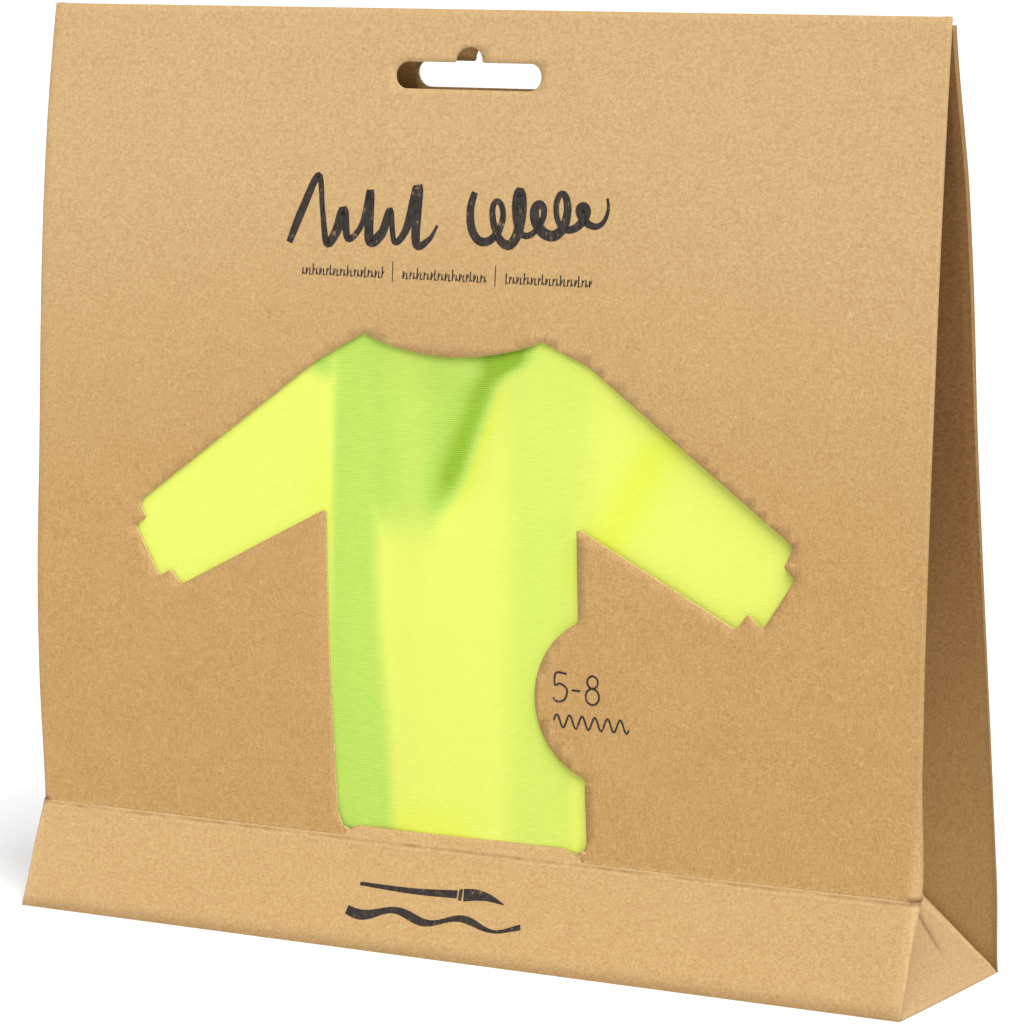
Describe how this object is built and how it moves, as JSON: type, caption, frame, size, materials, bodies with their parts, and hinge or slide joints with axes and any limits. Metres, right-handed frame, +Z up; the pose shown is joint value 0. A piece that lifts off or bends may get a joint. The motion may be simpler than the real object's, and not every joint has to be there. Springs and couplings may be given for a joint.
{
  "type": "packed artist smock",
  "caption": "Kraft-board gusseted sack with a smock-shaped window and hang slot, standing on its base, holding a folded neon long-sleeved child's painting smock.",
  "frame": {"origin": "middle of the base, on the surface the sack stands on", "axes": "+X to the right seen from the front, +Y to the back, +Z up; the window and the print face -Y"},
  "size_m": [0.1966, 0.0453, 0.1827],
  "materials": {
    "kraft_board": "uncoated brown kraft board with long fibres and flecks",
    "neon_fabric": "thin neon yellow polyester with a fine cross rib",
    "elastic": "white braided elastic",
    "touch_fastener": "hook and loop tape, matt",
    "label_satin": "white satin label"
  },
  "bodies": {
    "sack": {"foot_panel": "kraft_board", "back_panel": "kraft_board", "base_flap_front": "kraft_board", "base_flap_rear": "kraft_board", "base_flap_left": "kraft_board", "base_flap_right": "kraft_board", "base_triangle_left": "kraft_board", "base_triangle_right": "kraft_board", "foot_corner_left": "kraft_board", "foot_corner_right": "kraft_board", "gusset_rear_left": "kraft_board", "gusset_rear_right": "kraft_board", "seam_flap": "kraft_board"},
    "front": {"front_panel": "kraft_board", "gusset_front_left": "kraft_board", "gusset_front_right": "kraft_board"},
    "smock": {"smock_front_body": "neon_fabric", "smock_back_left": "neon_fabric", "smock_back_right": "neon_fabric", "sleeve_left": "neon_fabric", "sleeve_right": "neon_fabric", "cuff_left": "neon_fabric", "cuff_right": "neon_fabric", "cuff_elastic_left": "elastic", "cuff_elastic_right": "elastic", "neck_binding": "neon_fabric", "hook_tape": "touch_fastener", "loop_tape": "touch_fastener", "care_label": "label_satin"}
  },
  "joints": [
    {"name": "smock_slide", "type": "slide", "parent": "sack", "child": "smock", "axis": [0, 0, 1], "range_m": [0, 0.19]},
    {"name": "mouth_hinge", "type": "hinge", "parent": "sack", "child": "front", "pos_m": [0, -0.0151, 0.0208], "axis": [1, 0, 0], "range_deg": [0, 7]}
  ],
  "couplings": [
    {"joint": "mouth_hinge", "follows": "smock_slide", "rad_per_m": 0.64}
  ]
}
